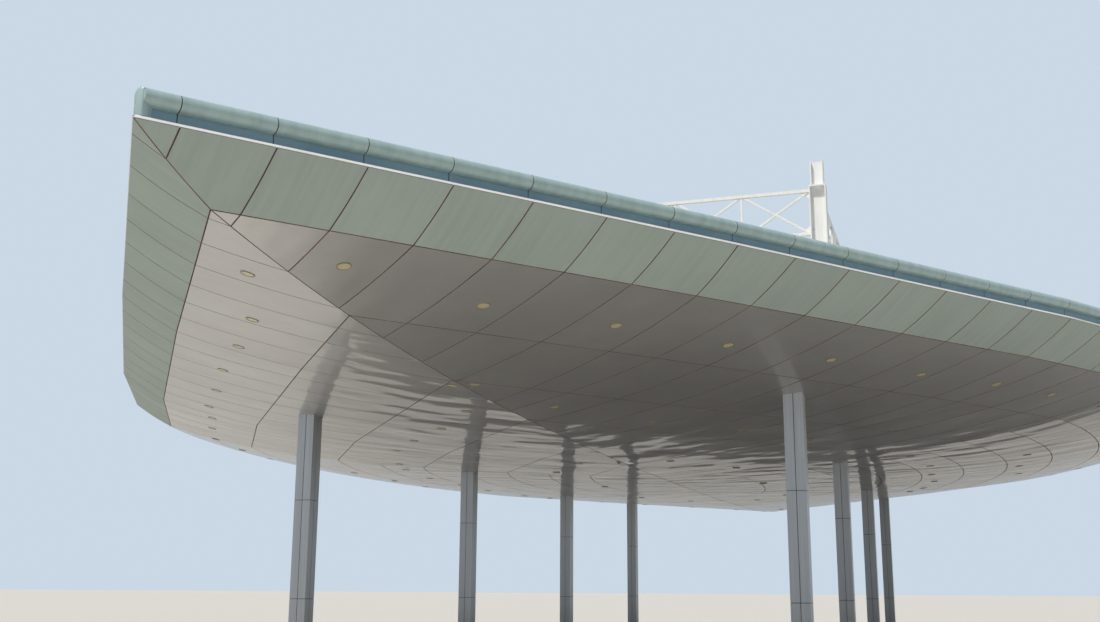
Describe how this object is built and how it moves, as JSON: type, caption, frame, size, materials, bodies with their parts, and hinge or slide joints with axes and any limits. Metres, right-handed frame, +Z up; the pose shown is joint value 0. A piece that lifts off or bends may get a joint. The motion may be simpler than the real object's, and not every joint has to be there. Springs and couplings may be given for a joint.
{
  "type": "filling station canopy, 1:2 scale model",
  "caption": "Leaf shaped filling station canopy with a boat hull panelled soffit, bullnose coping and roof trusses on two rows of square columns, at half size.",
  "frame": {"origin": "on the ground under the centre of the canopy", "axes": "+Z up, +Y along the canopy from the near prow to the far prow, +X to the right seen from the near prow"},
  "size_m": [15.3078, 27.9458, 6.745],
  "materials": {
    "column_casing": "satin silver grey composite panel",
    "coping": "satin pale aqua powder coat",
    "fascia_panel": "satin sage green coil coated composite panel",
    "mast_steel": "semi gloss cream paint",
    "recess_strip": "satin teal blue powder coat",
    "roof_deck": "light grey coil coated profiled sheet",
    "roof_steel": "matt grey primer",
    "soffit_panel": "satin champagne silver coil coated composite panel",
    "white_trim": "gloss white powder coat"
  },
  "bodies": {
    "root": {"column_left_1": "column_casing", "column_left_2": "column_casing", "column_left_3": "column_casing", "column_left_4": "column_casing", "column_right_1": "column_casing", "column_right_2": "column_casing", "column_right_3": "column_casing", "column_right_4": "column_casing", "coping_left": "coping", "coping_right": "coping", "cross_beam_1": "roof_steel", "cross_beam_2": "roof_steel", "cross_beam_3": "roof_steel", "cross_beam_4": "roof_steel", "fascia_left": "fascia_panel", "fascia_right": "fascia_panel", "lip_trim_left": "white_trim", "lip_trim_right": "white_trim", "main_girder_left": "roof_steel", "main_girder_right": "roof_steel", "mast_far_left": "mast_steel", "mast_far_right": "mast_steel", "mast_near_left": "mast_steel", "mast_near_right": "mast_steel", "recess_strip_left": "recess_strip", "recess_strip_right": "recess_strip", "roof_deck": "roof_deck", "soffit_band_1_left": "soffit_panel", "soffit_band_1_right": "soffit_panel", "soffit_band_2_left": "soffit_panel", "soffit_band_2_right": "soffit_panel", "soffit_band_3_left": "soffit_panel", "soffit_band_3_right": "soffit_panel", "soffit_band_4_left": "soffit_panel", "soffit_band_4_right": "soffit_panel", "soffit_band_5_left": "soffit_panel", "soffit_band_5_right": "soffit_panel", "soffit_band_6_left": "soffit_panel", "soffit_band_6_right": "soffit_panel", "truss_far": "mast_steel", "truss_left": "mast_steel", "truss_near": "mast_steel", "truss_right": "mast_steel"}
  },
  "joints": []
}
